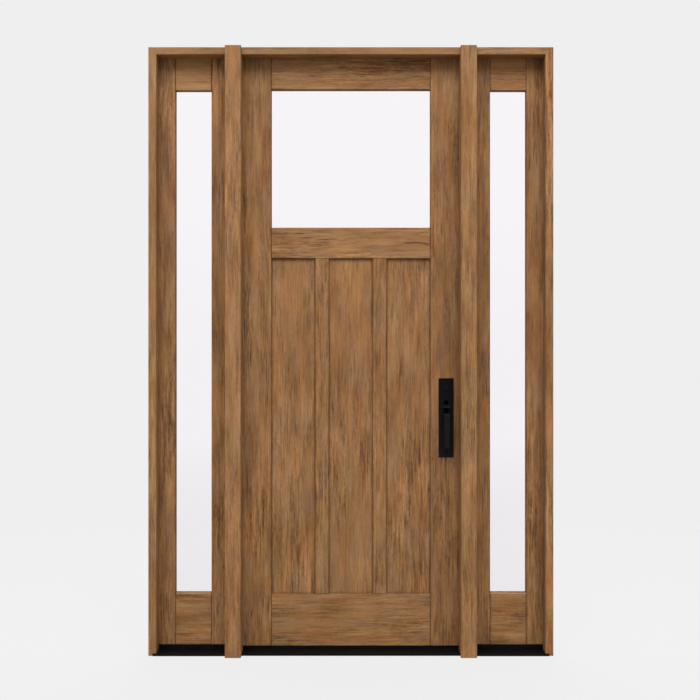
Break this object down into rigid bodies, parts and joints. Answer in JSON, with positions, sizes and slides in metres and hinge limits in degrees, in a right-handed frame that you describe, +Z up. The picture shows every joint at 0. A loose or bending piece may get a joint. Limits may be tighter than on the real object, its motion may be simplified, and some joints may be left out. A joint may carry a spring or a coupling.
{
  "type": "front door with two sidelights",
  "caption": "Timber front door, glazed above three flat panels, in a frame with full-height glass sidelights, mull posts, black sills and black pull-grip lock.",
  "frame": {"origin": "middle of the door threshold's underside, at mid depth of the frame", "axes": "+X towards the lock side, seen from outdoors to the right; +Y from outdoors to indoors; +Z up"},
  "size_m": [1.65, 0.21, 2.48],
  "materials": {
    "frame_wood": "stained, straight grain, satin",
    "leaf_wood": "stained, straight grain, satin",
    "clear_glass": "clear, polished",
    "black_sill": "black satin coating",
    "black_hardware": "black satin coating",
    "bolt_steel": "brushed",
    "weatherstrip": "matte foam"
  },
  "bodies": {
    "frame": {"door_head": "frame_wood", "door_jamb_hinge_side": "frame_wood", "door_jamb_lock_side": "frame_wood", "door_threshold": "black_sill", "door_weatherstrip": "weatherstrip", "hinge_frame_leaves": "black_hardware", "hinge_pins": "black_hardware", "left_mull_post": "frame_wood", "left_sidelight_bottom_rail": "leaf_wood", "left_sidelight_glass": "clear_glass", "left_sidelight_glazing_bead": "leaf_wood", "left_sidelight_head": "frame_wood", "left_sidelight_inner_jamb": "frame_wood", "left_sidelight_inner_stile": "leaf_wood", "left_sidelight_outer_jamb": "frame_wood", "left_sidelight_outer_stile": "leaf_wood", "left_sidelight_sill": "black_sill", "left_sidelight_top_rail": "leaf_wood", "right_mull_post": "frame_wood", "right_sidelight_bottom_rail": "leaf_wood", "right_sidelight_glass": "clear_glass", "right_sidelight_glazing_bead": "leaf_wood", "right_sidelight_head": "frame_wood", "right_sidelight_inner_jamb": "frame_wood", "right_sidelight_inner_stile": "leaf_wood", "right_sidelight_outer_jamb": "frame_wood", "right_sidelight_outer_stile": "leaf_wood", "right_sidelight_sill": "black_sill", "right_sidelight_top_rail": "leaf_wood", "strike_plate": "black_hardware"},
    "door": {"door_bottom_rail": "leaf_wood", "door_glass": "clear_glass", "door_glazing_bead": "leaf_wood", "door_hinge_stile": "leaf_wood", "door_lock_stile": "leaf_wood", "door_mid_rail": "leaf_wood", "door_mullion_1": "leaf_wood", "door_mullion_2": "leaf_wood", "door_panel_1": "leaf_wood", "door_panel_2": "leaf_wood", "door_panel_3": "leaf_wood", "door_top_rail": "leaf_wood", "hinge_door_leaves": "black_hardware", "outside_lock_plate": "black_hardware", "lock_cylinder": "black_hardware", "latch_pivot": "black_hardware", "latch_well": "black_hardware", "pull_grip": "black_hardware", "inside_lock_plate": "black_hardware", "inside_lever": "black_hardware", "inside_thumb_turn": "black_hardware", "lock_faceplate": "black_hardware", "lock_bolts": "bolt_steel"},
    "thumb_latch": {"thumb_latch": "black_hardware"}
  },
  "joints": [
    {"name": "door_swing", "type": "hinge", "parent": "frame", "child": "door", "pos_m": [-0.4575, 0.066, 1.2775], "axis": [0, 0, 1], "range_deg": [0, 110]},
    {"name": "latch_press", "type": "hinge", "parent": "door", "child": "thumb_latch", "pos_m": [0.393, 0.022, 1.015], "axis": [1, 0, 0], "range_deg": [0, 12], "stiffness_Nm_per_rad": 0.5, "springref_deg": -17.19}
  ]
}
